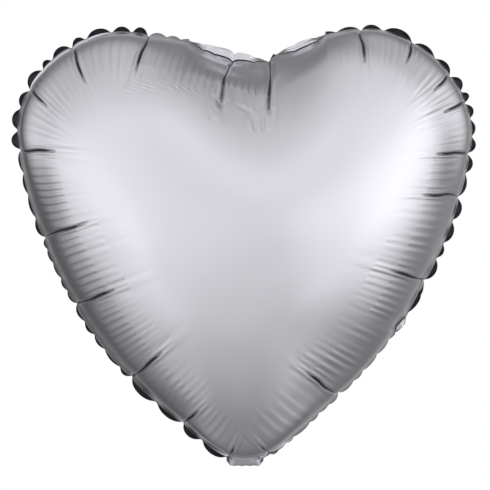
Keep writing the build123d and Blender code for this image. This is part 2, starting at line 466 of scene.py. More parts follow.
def middle_surface(co, ring_ids, patch):
    """The middle of the panel, smoothly subdivided once: points and faces."""
    keep = ring_ids[RINGS - 3:].ravel()
    inside = patch[1:-1, 1:-1].ravel()
    used = np.concatenate([keep, inside])
    new_id = {int(old): new for new, old in enumerate(used)}
    quads = net_quads(ring_ids, patch, RINGS - 3)
    obj = mesh_object("middle", co[used], [[new_id[int(q)] for q in quad] for quad in quads])
    sub = obj.modifiers.new("fine", "SUBSURF")
    sub.levels = sub.render_levels = 1
    sub.use_limit_surface = True
    graph = bpy.context.evaluated_depsgraph_get()
    mesh = bpy.data.meshes.new_from_object(obj.evaluated_get(graph))
    bpy.data.objects.remove(obj)
    points = np.array([v.co for v in mesh.vertices])
    # Subdivision makes four quads of each face, in the faces' order. The two outer rings
    # only shape the edge of the third.
    skip = 4 * 2 * COLUMNS
    quads = [tuple(p.vertices) for p in mesh.polygons][skip:]
    bpy.data.meshes.remove(mesh)
    return points, quads


def next_crease(name):
    """Name of the crease after this one, clockwise."""
    names = list(CREASES)
    return names[(names.index(name) + 1) % len(names)]


def crease_routes(rings):
    """For each crease: its place on the seam, how far it has drifted round by each ring, in
    simulated columns, its length along the film, the depth of its fold, and its line in the
    heart's plane as a point and a direction."""
    at = np.arange(0, COLUMNS, ROUTE_STEP)
    levels = np.arange(0, ROUTE_RINGS, ROUTE_STEP)
    net_rows = np.array([ring_surface(rings, v, at) for v in levels])
    film = np.cumsum(np.linalg.norm(np.diff(net_rows, axis=0), axis=2), axis=0)
    search = net_rows[ROUTE_SKIP:]
    routes = {}
    for name, (start, end, depth) in {**CREASES, **GUIDES}.items():
        place = seam_place(start)
        start, end = np.array(start) * MM, np.array(end) * MM
        gap = np.linalg.norm(search[:, :, [0, 2]] - end, axis=2)
        row, column = np.unravel_index(np.argmin(gap), gap.shape)
        row += ROUTE_SKIP
        drift = past(at[column], place)
        inwards = net_rows[:, column][:, [0, 2]] - net_rows[0, column][[0, 2]]
        inwards = np.linalg.norm(inwards, axis=1)
        drifts = drift * np.minimum(inwards / inwards[row], ROUTE_OVERRUN)
        line = (start, (end - start) / np.linalg.norm(end - start))
        routes[name] = (place, (levels, drifts), film[row - 1, column], depth * MM, line)
    return routes


def column_labels(routes, cell):
    """Places of the fine columns at the seam, closer together at the creases."""
    fine = np.arange(0, COLUMNS, 0.02)
    crowding = np.ones(len(fine))
    for place, *_ in routes.values():
        crowding += CREASE_CROWDING * bell(past(fine, place) * cell, CREASE_WIDTH)
    total = np.concatenate([[0], np.cumsum(crowding)])
    share = np.arange(EDGE_COLUMNS) / EDGE_COLUMNS * total[-1]
    return np.interp(share, total, np.append(fine, COLUMNS))


def columns_at(labels, routes, v):
    """Where the fine columns run at one ring: they follow the creases near the seam."""
    places = np.array([r[0] for r in routes.values()])
    drifts = np.array([np.interp(v, *r[1]) for r in routes.values()])
    order = np.argsort(places)
    follow = np.interp(labels, places[order], drifts[order], period=COLUMNS)
    even = np.arange(len(labels)) * (COLUMNS / len(labels))
    share = smoothstep(FOLLOW_UNTIL, EVEN_FROM, np.array(v))
    return (labels + follow) * (1 - share) + even * share


def panel_rows():
    """Rows of the fine panel: the place of each in rings, and its step in fine columns."""
    rows = []
    start = 0.0
    for end, count, density in BANDS:
        for step in range(count):
            rows.append((start + (end - start) * step / count, FINE // density))
        start = end
    return [*rows, (RINGS - 1.0, FINE // BANDS[-1][2])]


def row_faces(sizes, starts):
    """Faces between rows of points, each with as many points as the last or half as many."""
    faces = []
    for n, m, a, b in zip(sizes[:-1], sizes[1:], starts[:-1], starts[1:]):
        for i in range(m):
            j = (i + 1) % m
            if n == m:
                faces.append((a + i, b + i, b + j, a + j))
            else:
                outer = [a + 2 * i, a + 2 * i + 1, a + (2 * i + 2) % n]
                faces.append((outer[0], b + i, outer[1]))
                faces.append((outer[1], b + i, b + j))
                faces.append((outer[1], b + j, outer[2]))
    return faces


def joined_middle(co, ring_ids, patch, last, last_start):
    """The panel's middle: its points that aren't in the last row as well, and its faces."""
    points, quads = middle_surface(co, ring_ids, patch)
    new_id, extra = {}, []
    for i in sorted({i for quad in quads for i in quad}):
        gap = np.linalg.norm(last - points[i], axis=1)
        nearest = int(np.argmin(gap))
        if gap[nearest] < SAME_POINT:
            new_id[i] = last_start + nearest
        else:
            new_id[i] = last_start + len(last) + len(extra)
            extra.append(points[i])
    return np.array(extra), [tuple(new_id[i] for i in quad) for quad in quads]


def fine_panel(co, ring_ids, patch, routes):
    """Fine mesh of one swollen panel: points, then for each one its column's place on the
    seam, its distance from the seam along the film, and the width of a simulated column
    there, then the faces."""
    rings = co[ring_ids]
    points, label, depth, cell = [], [], [], []
    for v, skip in panel_rows():
        here = labels[::skip]
        row = ring_surface(rings, v, columns_at(labels, routes, v)[::skip])
        if points:
            thin = len(points[-1]) // len(row)
            step = np.linalg.norm(row - points[-1][::thin], axis=1)
            depth.append(depth[-1][::thin] + step)
        else:
            depth.append(np.zeros(len(row)))
        width = np.linalg.norm(np.roll(row, -1, 0) - np.roll(row, 1, 0), axis=1)
        span = (np.roll(here, -1) - np.roll(here, 1)) % COLUMNS
        points.append(row)
        label.append(here)
        cell.append(smoothed(width / span, 6))
    sizes = [len(row) for row in points]
    starts = [sum(sizes[:k]) for k in range(len(sizes))]
    extra, middle_faces = joined_middle(co, ring_ids, patch, points[-1], starts[-1])
    # The middle counts as a metre from the seam, out of reach of every fold and wrinkle.
    none, far = np.zeros(len(extra)), np.ones(len(extra))
    flat = ((*points, extra), (*label, none), (*depth, far), (*cell, far))
    faces = row_faces(sizes, starts) + middle_faces
    return *(np.concatenate(parts) for parts in flat), faces


# ---- Folds and wrinkles on the fine panel ---------------------------------------------

REACH_ALONG = 50 * MM     # a fold runs straight on for points within this of its column
REACH_ACROSS = 30 * MM    # how far a fold shapes the film on each side
SLIT_WIDTH = 0.85 * MM    # half width of a fold's slit
SHOULDER_AT = 2.8 * MM    # beside the slit, the film rises to soft shoulders
SHOULDER_WIDTH = 1.6 * MM
VALLEY_WIDTH = 8 * MM     # half width of the shallow valley round a fold
SIDE_LINE_AT = 4.6 * MM   # fainter lines beside the fold's inner end
SIDE_LINE_WIDTH = 1.3 * MM
LIP_AT = 2.1 * MM         # where a fold's inner end runs out, its sides rise a little
LIP_WIDTH = 1.1 * MM
LEAST_APART = 1 * MM      # taken as the least distance between two creases' lines
FAN_FROM = (22 * MM, 48 * MM)   # length of film over which wrinkles begin to fan out
FOLD_START = 8 * MM       # a fold deepens over this length of film from the seam
NOTCH_WIDTH = 2.4 * MM    # how sharply the seam is drawn in between two scallops
CREASE_NOTCH_WIDTH = 2.6 * MM   # and at a crease
WAVE_WIDTH = 6 * MM       # half width of the seam's bend out of its plane there


def aside_of(points, line):
    """Distance of each point from a line in the heart's plane, positive clockwise of it."""
    start, run = line
    away = points[:, [0, 2]] - start
    return away[:, 1] * run[0] - away[:, 0] * run[1]


def crease_heights(routes, points, label, depth, cell):
    """Height of the folds over the smooth panel: a slit with soft shoulders in a shallow
    valley, and fainter lines beside its inner end. Also the painted shade along each slit."""
    rng = np.random.default_rng(21)
    height = np.zeros(len(label))
    shadow = np.zeros(len(label))
    for name, (place, _, length, deep, line) in routes.items():
        if name in GUIDES:
            continue
        left_line, right_line = rng.uniform(0.3, 1.0, 2)
        # s runs from 0 at the seam to 1 at the end of the fold, and x is across the fold.
        s = depth / length
        x = past(label, place) * cell
        # Away from the seam, the fold runs straight on.
        straight = smoothstep(0.45, 0.8, s) * (np.abs(x) < REACH_ALONG)
        x = x * (1 - straight) + aside_of(points, line) * straight
        ahead = (points[:, [0, 2]] - line[0]) @ line[1] > 0
        near = (np.abs(x) < REACH_ACROSS) & (s < 2) & ahead
        x, s = x[near], s[near]
        away = np.abs(x)
        open_end = np.clip(1 - s, 0, 1)
        spindle = np.minimum(1, 2.4 * open_end**0.65) * (0.4 + 0.6 * smoothstep(0.25, 0.6, s))
        slit = deep * spindle
        add = -0.8 * slit * np.exp(-((away / SLIT_WIDTH) ** 1.6))
        add += 0.12 * slit * bell(away - SHOULDER_AT, SHOULDER_WIDTH)
        add -= 0.20 * deep * np.clip(1 - s / 1.3, 0, 1) * bell(x, VALLEY_WIDTH)
        # Painted shade: the film's colour is darkened along the slit, fading out before the
        # fold's end.
        dark = np.exp(-((away / ((0.28 + 0.36 * spindle) * MM)) ** 2.5))
        dark *= smoothstep(0, 0.22, open_end)
        shadow[near] = np.maximum(shadow[near], dark)
        inner = smoothstep(0.5, 0.85, s) * (1 - smoothstep(1.1, 1.75, s)) * deep
        for offset, size in ((-SIDE_LINE_AT, left_line), (SIDE_LINE_AT, right_line)):
            add -= 0.13 * size * inner * bell(x - offset, SIDE_LINE_WIDTH)
        add += 0.10 * inner * bell(away - LIP_AT, LIP_WIDTH)
        height[near] += add
    return height, shadow


def wrinkle_heights(routes, points, label, depth, seed):
    """Height of the fine wrinkles, which run across the film at some way from the seam,
    and fan out between the two creases that they lie between."""
    rng = np.random.default_rng(seed)
    height = np.zeros(len(label))
    for crease, low, high, count, begin, reach, size in WRINKLES:
        first, last = routes[crease], routes[next_crease(crease)]
        span = (last[0] - first[0]) % COLUMNS
        along = ((label - first[0] + 0.25 * span) % COLUMNS) / span - 0.25
        after, before = aside_of(points, first[-1]), -aside_of(points, last[-1])
        fan = after / np.maximum(after + before, LEAST_APART)
        straight = smoothstep(*FAN_FROM, depth)
        x = (along * (1 - straight) + fan * straight - low) / (high - low)
        # Far from both creases, the two ways to place a point disagree: no wrinkles there.
        agree = 1 - smoothstep(0.15, 0.5, np.abs(fan - along))
        near_by = (along > -0.25) & (along < 1.25) & (agree > 0)
        inside = (x > 0) & (x < 1) & (depth < 1.3 * reach * MM) & near_by
        t, d = x[inside], depth[inside]
        knots = np.linspace(0, 1, count + 3)

        def uneven(least, most):
            return np.interp(t, knots, rng.uniform(least, most, len(knots)))

        far = uneven(0.75, 1.12) * reach * MM
        near = uneven(0.8, 1.25) * begin * MM
        tall = uneven(0.5, 1.2) * size * MM
        lag = uneven(-1.0, 1.0)
        lean = rng.uniform(-5, 5)
        phase = TAU * count * t + lag + lean * d
        wave = np.cos(phase) + 0.25 * np.cos(2 * phase + 1.3)
        fade = smoothstep(0.6 * near, 1.15 * near, d) * (1 - smoothstep(0.68 * far, 1.1 * far, d))
        edge = np.clip(np.sin(np.pi * np.clip(t, 0, 1)), 0, 1) ** 0.4
        height[inside] += tall * fade * edge * agree[inside] * wave
    return height


def scallop_spans(routes):
    """Each scallop of the margin: place where it starts, its span, opening, and whether it is
    painted shade.
    """
    rng = np.random.default_rng(5)
    spans = []
    for crease, count, opening, tone in SCALLOPS:
        start = routes[crease][0]
        span = (routes[next_crease(crease)][0] - start) % COLUMNS
        cuts = np.linspace(0, 1, count + 1)
        cuts[1:-1] += rng.uniform(-0.22, 0.22, count - 1) / count
        for low, high in zip(cuts[:-1], cuts[1:]):
            size = opening * MM * rng.uniform(0.75, 1.1)
            spans.append((start + low * span, (high - low) * span, size, tone == "dark"))
    return spans


def draw_in(labels, spans, routes):
    """How far each column of the seam is drawn in, and how far it leaves the seam plane."""
    pull = np.zeros(len(labels))
    wave = np.zeros(len(labels))
    cell = seam_length / COLUMNS
    rng = np.random.default_rng(6)
    sign = 1
    for place, *_ in spans:
        gap = past(labels, place) * cell
        sign = -sign
        depth = rng.uniform(0.6, 1.3) * MM
        pull += depth * np.exp(-np.abs(gap) / NOTCH_WIDTH)
        wave += sign * 0.5 * depth * bell(gap, WAVE_WIDTH)
    for place, _, _, deep, _ in routes.values():
        gap = past(labels, place) * cell
        pull += 0.5 * deep * np.exp(-np.abs(gap) / CREASE_NOTCH_WIDTH)
    return pull, wave


def lens_shape(labels):
    """How far the long scallops draw in each column of the seam, how far they stand out
    from there, how crumpled they are, and whether they are painted shade."""
    pull = np.zeros(len(labels))
    reach = np.full(len(labels), -1.0)
    crumple = np.zeros(len(labels))
    dark = np.zeros(len(labels), bool)
    for start, end, draw, out, tone, crush in LENSES:
        place = seam_place(start)
        span = (seam_place(end) - place) % COLUMNS
        x = ((labels - place) % COLUMNS) / span
        inside = x < 1
        arch = np.sin(np.pi * x[inside]) ** 0.75
        pull[inside] = draw * MM * arch
        reach[inside] = (draw + out) * MM * arch
        crumple[inside] = crush * arch
        dark[inside] = tone == "dark"
    return pull, reach, crumple, dark


# ---- Build the panels ---------------------------------------------------------------

BELOW_CLEFT = np.array([17, 270]) * MM
_, seam_length = even_seam(COLUMNS)
net, ring_ids, patch, net_faces = net_layout()
swollen = swell(net, net_faces)
swollen = evened(swollen, net, rounds=24)
swollen = relaxed(swollen, net_faces, first=10 * COLUMNS, rounds=90, step=0.62)
swollen = softened(swollen, net_faces, crown, radius=190 * MM, blur=14 * MM)
swollen = softened(swollen, net_faces, BELOW_CLEFT, radius=80 * MM, blur=15 * MM)
swollen = relaxed(swollen, net_faces, first=COLUMNS, rounds=12, step=0.5)
rings = swollen[ring_ids]
routes = crease_routes(rings)
labels = column_labels(routes, seam_length / COLUMNS)
spans = scallop_spans(routes)
pull, wave = draw_in(labels, spans, routes)
lens_pull, lens_reach, lens_crumple, lens_dark = lens_shape(labels)


def seam_line():
    """Seam points at the fine columns, and the outward direction there."""
    at = columns_at(labels, routes, 0.0)
    base = ring_surface(rings, 0.0, at)
    tangent = ring_surface(rings, 0.0, at + 0.5) - ring_surface(rings, 0.0, at - 0.5)
    outward = np.stack([-tangent[:, 2], np.zeros(len(at)), tangent[:, 0]], 1)
    return base, outward / np.linalg.norm(outward, axis=1)[:, None]


seam_base, seam_outward = seam_line()


def vertex_normals(points, faces):
    """Outward normals of the smooth panel."""
    obj = mesh_object("normals", points, faces)
    normals = np.array([v.vector for v in obj.data.vertex_normals])
    bpy.data.objects.remove(obj)
    return normals


def make_panel(name, front):
    """One foil panel: the swollen surface, drawn in at the seam, creased and wrinkled. The
    back one is the front's mirror image, but for its wrinkles."""
    points, label, depth, cell, faces = fine_panel(swollen, ring_ids, patch, routes)
    normals = vertex_normals(points, faces)
    column = np.clip(np.searchsorted(labels, label - 1e-9), 0, EDGE_COLUMNS - 1)
    shift = -seam_outward[column] * pull[column][:, None]
    shift[:, 1] = wave[column] * (1 if front else -1)
    shift *= (1 - smoothstep(0, PULL_FADE, depth))[:, None]
    deep_fade = 1 - smoothstep(*LENS_FADE, depth)
    shift -= seam_outward[column] * (lens_pull[column] * deep_fade)[:, None]
    height, shadow = crease_heights(routes, points, label, depth, cell)
    height *= smoothstep(0, FOLD_START, depth)
    height += wrinkle_heights(routes, points, label, depth, 11 if front else 12)
    points = points + shift + normals * height[:, None]
    if not front:
        points[:, 1] *= -1
        faces = [tuple(reversed(f)) for f in faces]
    obj = mesh_object(name, points, faces)
    # The folds' painted shade is kept on the film as its fold attribute.
    fold_shade = obj.data.attributes.new("fold", "FLOAT", "POINT")
    fold_shade.data.foreach_set("value", shadow.astype(np.float32))
    return obj


front = make_panel("foil_front", True)
back = make_panel("foil_back", False)


# ---- Sealed margin ------------------------------------------------------------------

MARGIN = 5.8 * MM
MARGIN_ROWS = 6
SCALLOP_END = 0.06        # share of a scallop at each end that stays tucked back
TUCKED = 0.2 * MM         # how far the margin stands out where it is tucked back
SPARE_WIDTH = 0.1 * MM    # the margin is at least this much wider than it shows
CRUMPLE_HEIGHT = 1.1 * MM
CRUMPLE_EVERY = 1.25      # columns of the simulated net from one crumple to the next
CONTOUR_CRUMPLE = 0.15    # past this, a line of painted shadow sets the margin off from the panel
PAINTED_SHADE, PALE = 0, 1         # the margin's materials: painted shade, and the film's own pale tone


def strip_quads(rows, n, closed=True):
    """Faces between rows of n points each, whose ends meet where they are closed."""
    faces = []
    for i in range(rows - 1):
        for j in range(n if closed else n - 1):
            k = (j + 1) % n
            faces.append((i * n + j, i * n + k, (i + 1) * n + k, (i + 1) * n + j))
    return faces


def make_margin():
    """The welded flange: each scallop stands out at its middle and is tucked back at its
    ends. Also the material of each of its faces, painted shade on the dark ones."""
    reach = np.full(EDGE_COLUMNS, TUCKED)
    dark = np.zeros(EDGE_COLUMNS, bool)
    for place, span, size, is_dark in spans:
        x = ((labels - place) % COLUMNS) / span
        inside = x < 1
        open_share = np.clip((x[inside] - SCALLOP_END) / (1 - 2 * SCALLOP_END), 0, 1)
        reach[inside] += size * np.sin(np.pi * open_share) ** 0.55
        dark[inside] = is_dark
    lens = lens_reach >= 0
    reach = np.where(lens, np.maximum(lens_reach, TUCKED), reach)
    dark = np.where(lens, lens_dark, dark)
    width = np.maximum(MARGIN, reach + SPARE_WIDTH)
    points = []
    base = seam_base - seam_outward * (pull + lens_pull)[:, None]
    base[:, 1] = wave
    lean = np.arccos(np.clip(reach / width, 0, 1))
    rng = np.random.default_rng(8)
    knots = np.arange(0, COLUMNS + 2, CRUMPLE_EVERY)
    crush = rng.uniform(-1, 1, (MARGIN_ROWS + 1, len(knots)))
    for row in range(MARGIN_ROWS + 1):
        r = row / MARGIN_ROWS
        curl = lean * (0.75 + 0.25 * r)
        step = base + seam_outward * (r * width * np.cos(curl))[:, None]
        step[:, 1] += r * width * np.sin(curl)
        rough = np.interp(labels, knots + 0.4 * (row % 2), crush[row])
        step[:, 1] += CRUMPLE_HEIGHT * lens_crumple * rough * smoothstep(0, 0.5, np.array(r))
        points.append(step)
    faces = strip_quads(MARGIN_ROWS + 1, EDGE_COLUMNS)
    tones = np.tile(np.where(dark, PAINTED_SHADE, PALE), (MARGIN_ROWS, 1))
    # Painted shadow line on the first row of the crumpled long scallops.
    tones[0, lens_crumple > CONTOUR_CRUMPLE] = PAINTED_SHADE
    return mesh_object("sealed_margin", np.concatenate(points), faces), tones.ravel().tolist()


margin, margin_tones = make_margin()


# ---- Filling tail and valve ---------------------------------------------------------

# At rest the tail is folded up behind the tip, as in the CAD model. A line is (y, z).
TAIL_START_ANGLE = math.radians(8)
TAIL_BEND_RADIUS = 44 * MM
TAIL_BEND_LENGTH = 30 * MM
TAIL_LENGTH = 50 * MM
TAIL_HALF_WIDTH = 15 * MM
CHANNEL_HALF_WIDTH = 11 * MM   # open channel between the two welded edges
TAIL_FILM_GAP = 0.60 * MM      # from the middle of the tail to each of its films
VALVE_FILM_GAP = 0.25 * MM
VALVE_HALF_WIDTH = 10.5 * MM
VALVE_ROOT = 4.0 * MM          # height of the weld that holds the valve
VALVE_ROOT_MIDDLE = 3.5 * MM   # and its middle, above the fold
VALVE_START = 6.0 * MM         # lower and upper end of the free valve films
VALVE_TOP = 76.0 * MM
INLET_START = 1.2 * MM         # where the inlet's films begin, from the fold
FIRST_ROW = 0.4 * MM           # where the other films' first row past the fold is
TAIL_ROWS = 70
NECK_CLEARANCE = 0.3 * MM      # from a film's line in the neck to its line past the fold
NECK_DRAWN_IN = 0.17           # share of its width that the neck is gathered by
NECK_TOP = 4.0 * MM            # where the seam crosses the neck
NECK_FILM = (5.4 * MM, 1.2 * MM)   # heights between which a film runs straight down in it
NECK_RING = 3.5                # ring of the panel where the front film takes over from it
NECK_SPAN = 0.9                # width of film that it takes over, against the tail's
NECK_ROWS = 16
NECK_WALL = 0.6                # share of the way down at which its edges cross the seam
NECK_BULGE = 3.0 * MM          # how far the back film spreads above the fold
BULGE_FROM = 0.6 * MM          # it begins at this height, and is full at so much above that
BULGE_HEIGHT = 4.8 * MM
BULGE_WITHIN = 1.2 * MM        # for the film within this of the seam plane
NECK_SUNK = 0.4 * MM           # how deep the front film's top is sunk into its panel
GATHER_FADE = (2 * MM, 12 * MM)   # distance from the fold over which the gathers end
PLEAT_FADE = (3 * MM, 15 * MM)    # the same for the pleats
PLEAT_WIDTH = 6.5 * MM
PLEAT_HEIGHT = 0.22 * MM
CRINKLE = 0.12 * MM            # height of the crinkles of a foil film, and of a valve film
VALVE_CRINKLE = 0.04 * MM
WELD_HEIGHT = 0.001 * MM       # of the welded edges' line over the middle of the tail
WELD_OVERHANG = 0.3 * MM       # how far they stand out past the films
WELD_HALF = 0.4 * MM           # half the thickness of the welded edges, and of the root
ROOT_HALF = 0.15 * MM
CRIMP = 1.3 * MM               # one ridge of a welded band to the next
CRIMP_STEP = 0.26 * MM         # its points lie this far apart
BAND_COLUMNS = 16


def tail_place(along, height):
    """(y, z) on the folded tail; height is measured towards the balloon."""
    start = TAIL_START_ANGLE
    turn = start + np.minimum(along, TAIL_BEND_LENGTH) / TAIL_BEND_RADIUS
    straight = np.maximum(0, along - TAIL_BEND_LENGTH)
    radius = TAIL_BEND_RADIUS - height
    y = radius * np.sin(turn) - TAIL_BEND_RADIUS * np.sin(start) + straight * np.cos(turn)
    z = TAIL_BEND_RADIUS * np.cos(start) - radius * np.cos(turn) + straight * np.sin(turn)
    return np.stack([y, z], -1)


def tail_line(height, first=FIRST_ROW):
    """Line (y, z) of a film along the tail, from just past the fold."""
    return tail_place(np.linspace(first, TAIL_LENGTH, TAIL_ROWS), height)


def neck_and_tail(height):
    """Line (y, z) of a film from inside the neck, past the fold and along the tail."""
    tail = tail_line(height)
    neck = np.stack([np.full(8, height), np.linspace(*NECK_FILM, 8)], 1)
    return np.concatenate([neck, tail[tail[:, 0] > height + NECK_CLEARANCE]])


def gathered(place):
    """Share of its full width that a film has at (y, z): the neck is drawn together."""
    from_fold = np.hypot(place[..., 0], place[..., 1])
    return 1 - NECK_DRAWN_IN * (1 - smoothstep(*GATHER_FADE, from_fold))


def pleat(x, place):
    """Height of the neck's pleats, the same in each of its layers."""
    from_fold = np.hypot(place[..., 0], place[..., 1])
    near_fold = 1 - smoothstep(*PLEAT_FADE, from_fold)
    return PLEAT_HEIGHT * near_fold * np.sin(TAU * x / PLEAT_WIDTH + 0.7)


def film_grid(line, across):
    """Rows of points over a line (y, z), each as wide as the film is there."""
    x = across[None, :] * gathered(line)[:, None]
    return np.stack([x, *(np.repeat(line[:, k:k + 1], len(across), 1) for k in (0, 1))], 2)


def front_neck(across):
    """The front film from the panel's lower end down to the fold line: rows of points."""
    tip = seam_place((0.0, NECK_TOP / MM))
    at = tip - NECK_SPAN * across * COLUMNS / seam_length
    top = ring_surface(rings, NECK_RING, at)
    down = ring_surface(rings, NECK_RING - 0.5, at) - top
    down /= np.linalg.norm(down, axis=1)[:, None]
    fold = film_grid(tail_place(np.array([0.0]), -TAIL_FILM_GAP), across)[0]
    ahead = np.array([0, math.cos(TAIL_START_ANGLE), math.sin(TAIL_START_ANGLE)])
    length = np.linalg.norm(fold - top, axis=1)[:, None]
    closed = ((np.abs(across) / TAIL_HALF_WIDTH) ** 6)[:, None]
    seam = ring_surface(rings, 0.0, at)
    rows = []
    # A cubic curve leads from the panel to the fold, in line with both.
    for t in np.linspace(0, 0.97, NECK_ROWS):
        swing = (2 * t**3 - 3 * t**2 + 1) * top + (t**3 - 2 * t**2 + t) * 0.9 * length * down
        swing = swing + (3 * t**2 - 2 * t**3) * fold + (t**3 - t**2) * 0.7 * length * ahead
        if t < NECK_WALL:
            wall = ring_surface(rings, NECK_RING * (1 - t / NECK_WALL), at)
        else:
            wall = seam + (fold - seam) * (t - NECK_WALL) / (1 - NECK_WALL)
        rows.append(swing * (1 - closed) + wall * closed)
    return np.array(rows)


def film_strip(name, grid, height, seed, crinkle):
    """A film over rows of points, lifted by a height, with faint crinkles across it."""
    rng = np.random.default_rng(seed)
    tangent = np.gradient(grid, axis=0)[..., 1:]
    tangent /= np.linalg.norm(tangent, axis=2)[..., None]
    normal = np.stack([np.zeros(grid.shape[:2]), -tangent[..., 1], tangent[..., 0]], 2)
    s = lengths_along(grid[:, grid.shape[1] // 2])[:, None] / MM
    u = grid[..., 0] / MM
    phases = rng.uniform(0, TAU, 4)
    rise = np.sin(0.55 * s + 0.30 * u + phases[0]) + np.sin(0.31 * s - 0.42 * u + phases[1])
    rise += 0.6 * np.sin(1.1 * s + 0.15 * u + phases[2]) + 0.5 * np.sin(0.9 * u + phases[3])
    move = height(grid) + crinkle * rise / 3 * smoothstep(0.5, 6, s)
    move += pleat(grid[..., 0], grid[..., 1:])
    points = (grid + normal * move[..., None]).reshape(-1, 3)
    return mesh_object(name, points, strip_quads(*grid.shape[:2], closed=False))


def crimped_band(line, x_low, x_high, half, seed):
    """A welded edge: a thin closed band with the ridges that the sealing jaws leave."""
    rng = np.random.default_rng(seed)
    tangent = np.gradient(line, axis=0)
    tangent /= np.linalg.norm(tangent, axis=1)[:, None]
    normal = np.stack([-tangent[:, 1], tangent[:, 0]], 1)
    along = lengths_along(line)
    edge = rng.uniform(-0.12, 0.12, len(line)) * MM
    points = []
    steps = [(k / BAND_COLUMNS, 1.0) for k in range(1, BAND_COLUMNS)]
    loop = [(0.0, 0.0), *steps, (1.0, 0.0), *((x, -h) for x, h in steps[::-1])]
    for i, (place, out) in enumerate(zip(line, normal)):
        ridge = 0.25 * half * np.sin(along[i] * TAU / CRIMP)
        for x, h in loop:
            side = x_low + (x_high - x_low) * x + (edge[i] if x == 1.0 else 0)
            spot = place + out * (h * half + ridge * (h != 0) + pleat(side, place))
            points.append((side * gathered(place), spot[0], spot[1]))
    n = len(loop)
    faces = strip_quads(len(line), n)
    faces.append(tuple(range(n))[::-1])
    faces.append(tuple((len(line) - 1) * n + j for j in range(n)))
    return points, faces


def even_line(line, step):
    """The same line with points a step apart."""
    length = lengths_along(line)
    at = np.linspace(0, length[-1], int(length[-1] / step) + 1)
    return np.stack([np.interp(at, length, line[:, k]) for k in (0, 1)], 1)


def bands_object(name, bands):
    """One object of several closed bands."""
    points, faces = [], []
    for band_points, band_faces in bands:
        start = len(points)
        points += band_points
        faces += [tuple(start + i for i in f) for f in band_faces]
    return mesh_object(name, points, faces, smooth=False)


def pinched(gap, bulge=0.0):
    """Height over a film's own line: the films close up towards the welded edges, and the
    back one spreads above the fold, where it runs into its panel."""
    def height(grid):
        x, y, z = (grid[..., k] for k in range(3))
        close = -0.8 * gap * np.minimum(1, np.abs(x) / CHANNEL_HALF_WIDTH) ** 4
        spread = np.clip((z - BULGE_FROM) / BULGE_HEIGHT, 0, 1) ** 1.3
        spread = spread * (np.abs(y) < BULGE_WITHIN)
        return close + bulge * spread * np.maximum(0, 1 - (x / TAIL_HALF_WIDTH) ** 2)
    return height


def laid_on(gap):
    """The front film: sunk into its panel at the top, and closing up along the tail."""
    close = pinched(gap)

    def height(grid):
        on_tail = grid[..., 1] > 0
        row = np.arange(len(grid))[:, None]
        sunk = NECK_SUNK * (1 - 2 * smoothstep(0, 4, row)) * (1 - smoothstep(5, 13, row))
        return np.where(on_tail, close(grid), sunk)
    return height


TAIL_ACROSS = np.linspace(-TAIL_HALF_WIDTH, TAIL_HALF_WIDTH, 41)
VALVE_ACROSS = np.linspace(-VALVE_HALF_WIDTH, VALVE_HALF_WIDTH, 31)
tail_films = []
for name, node, side, seed in (
    ("tail_film_front", "tail_front", -1, 31), ("tail_film_back", "tail_back", 1, 32)
):
    gap = side * TAIL_FILM_GAP
    if side < 0:
        grid = film_grid(tail_line(gap), TAIL_ACROSS)
        grid = np.concatenate([front_neck(TAIL_ACROSS), grid])
        film = film_strip(name, grid, laid_on(gap), seed, CRINKLE)
    else:
        grid = film_grid(neck_and_tail(gap), TAIL_ACROSS)
        film = film_strip(name, grid, pinched(gap, NECK_BULGE), seed, CRINKLE)
    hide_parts(node)
    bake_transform(film)
    tail_films.append(film)

weld_line = even_line(neck_and_tail(WELD_HEIGHT), CRIMP_STEP)
weld_edge = TAIL_HALF_WIDTH + WELD_OVERHANG
tail_weld = bands_object("tail_weld", [
    crimped_band(weld_line, CHANNEL_HALF_WIDTH, weld_edge, WELD_HALF, 33),
    crimped_band(weld_line, -CHANNEL_HALF_WIDTH, -weld_edge, WELD_HALF, 34),
])
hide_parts("tail_edge_seal")
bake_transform(tail_weld)

valve_films = []
upright = np.stack([np.zeros(60), np.linspace(VALVE_TOP, VALVE_START, 60)], 1)
for name, node, body, side, seed in (
    ("inlet_film_front", "valve_inlet_front", "tail", -1, 35),
    ("inlet_film_back", "valve_inlet_back", "tail", 1, 36),
    ("flap_film_front", "valve_flap_front", "valve", -1, 37),
    ("flap_film_back", "valve_flap_back", "valve", 1, 37),
):
    gap = side * VALVE_FILM_GAP
    if body == "tail":
        line = tail_line(gap, INLET_START)
    else:
        line = upright + np.array([gap, 0])
    grid = film_grid(line, VALVE_ACROSS)
    film = film_strip(name, grid, pinched(gap), seed, VALVE_CRINKLE)
    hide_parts(node)
    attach(film, body)
    valve_films.append(film)

root_line = np.stack(
    [np.zeros(40), VALVE_ROOT_MIDDLE + np.linspace(0.5, -0.5, 40) * VALVE_ROOT], 1
)
valve_weld = bands_object("valve_weld", [
    crimped_band(root_line, -CHANNEL_HALF_WIDTH, CHANNEL_HALF_WIDTH, ROOT_HALF, 38)
])
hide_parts("valve_root")
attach(valve_weld, "balloon")


# ---- Materials ----------------------------------------------------------------------


def new_material(name, settings):
    """New material with these settings of its shader."""
    mat = bpy.data.materials.new(name)
    mat.use_nodes = True
    for setting, value in settings.items():
        mat.node_tree.nodes["Principled BSDF"].inputs[setting].default_value = value
    return mat


def two_tone(mat, share, one, other):
    """Colours a material between two colours, by a share."""
    nodes, links = mat.node_tree.nodes, mat.node_tree.links
    tone = nodes.new("ShaderNodeMix")
    tone.data_type = "RGBA"
    tone.inputs["A"].default_value = (*one, 1)
    tone.inputs["B"].default_value = (*other, 1)
    links.new(share, tone.inputs["Factor"])
    links.new(tone.outputs["Result"], nodes["Principled BSDF"].inputs["Base Color"])


def bumped(mat, height, strength, distance):
    """Gives a material fine relief."""
    nodes, links = mat.node_tree.nodes, mat.node_tree.links
    bump = nodes.new("ShaderNodeBump")
    bump.inputs["Strength"].default_value = strength
    bump.inputs["Distance"].default_value = distance
    links.new(height, bump.inputs["Height"])
    links.new(bump.outputs["Normal"], nodes["Principled BSDF"].inputs["Normal"])


